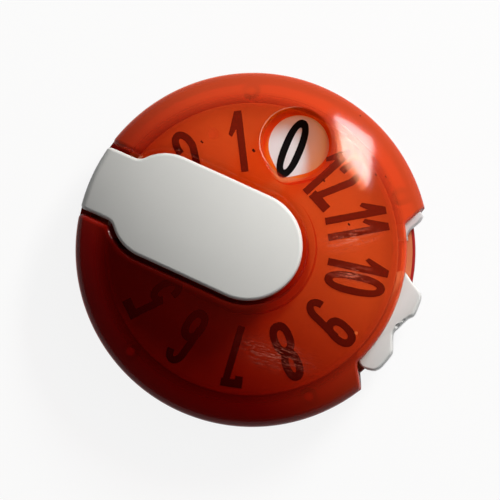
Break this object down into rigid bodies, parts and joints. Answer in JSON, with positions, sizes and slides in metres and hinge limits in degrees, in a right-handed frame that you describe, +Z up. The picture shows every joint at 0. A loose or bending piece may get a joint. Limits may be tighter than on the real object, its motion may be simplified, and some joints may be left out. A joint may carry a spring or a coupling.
{
  "type": "golf score counter",
  "caption": "Round pocket counter with a domed translucent cover, a numbered dial under a window, a rim lever that counts up and a wide reset key.",
  "frame": {"origin": "centre of the flat underside of the base, on the dial's axis", "axes": "+Z up along the dial's axis, -X towards the reset key's hinge at the rim, +Y towards the window, +X towards the lever's slot"},
  "size_m": [0.0417, 0.042, 0.0135],
  "materials": {
    "cover_plastic": "translucent orange-red, polished",
    "base_plastic": "translucent red, polished",
    "plate_plastic": "white, satin",
    "key_plastic": "white, semi-gloss",
    "lever_plastic": "white, satin",
    "pawl_plastic": "natural, satin",
    "washer_plastic": "natural, satin",
    "hub_plastic": "white, satin",
    "dial_plastic": "white, satin",
    "ink": "printed black",
    "steel": "drawn pin",
    "screw_steel": "zinc plated",
    "spring_steel": "spring wire and strip"
  },
  "bodies": {
    "case": {"top_cover": "cover_plastic", "base_shell": "base_plastic", "mechanism_plate": "plate_plastic", "axle_pin": "steel", "lever_pivot": "steel", "hinge_pin": "steel", "check_pawl": "pawl_plastic", "check_pawl_rivet": "steel", "case_screws": "screw_steel", "return_spring": "spring_steel", "lift_spring": "spring_steel", "lever_spring": "spring_steel"},
    "reset_key": {"reset_key": "key_plastic"},
    "count_lever": {"count_lever": "lever_plastic", "drive_pawl": "pawl_plastic", "drive_pawl_rivet": "steel"},
    "lift_washer": {"thrust_washer": "washer_plastic"},
    "dial": {"ratchet_hub": "hub_plastic", "number_disc": "dial_plastic", "dial_ring": "hub_plastic", "numerals": "ink"}
  },
  "joints": [
    {"name": "key_press", "type": "hinge", "parent": "case", "child": "reset_key", "pos_m": [-0.0183, 0, 0.0054], "axis": [0, 1, 0], "range_deg": [0, 2.82], "stiffness_Nm_per_rad": 0.36, "springref_deg": -5.73, "deforming": ["lift_spring", "return_spring"]},
    {"name": "dial_drop", "type": "slide", "parent": "case", "child": "lift_washer", "axis": [0, 0, -1], "range_m": [0, 0.0009], "deforming": ["lift_spring", "return_spring"]},
    {"name": "dial_turn", "type": "hinge", "parent": "lift_washer", "child": "dial", "pos_m": [0, 0, 0.006], "axis": [0, 0, 1], "range_deg": [-332.31, 0], "deforming": ["return_spring", "check_pawl", "drive_pawl"]},
    {"name": "lever_swing", "type": "hinge", "parent": "case", "child": "count_lever", "pos_m": [0.01046, 0.00092, 0.003], "axis": [0, 0, 1], "range_deg": [0, 21], "stiffness_Nm_per_rad": 0.01, "springref_deg": -28.65, "deforming": ["lever_spring", "drive_pawl"]}
  ],
  "couplings": [
    {"joint": "key_press", "follows": "dial_drop", "rad_per_m": 54.66}
  ]
}
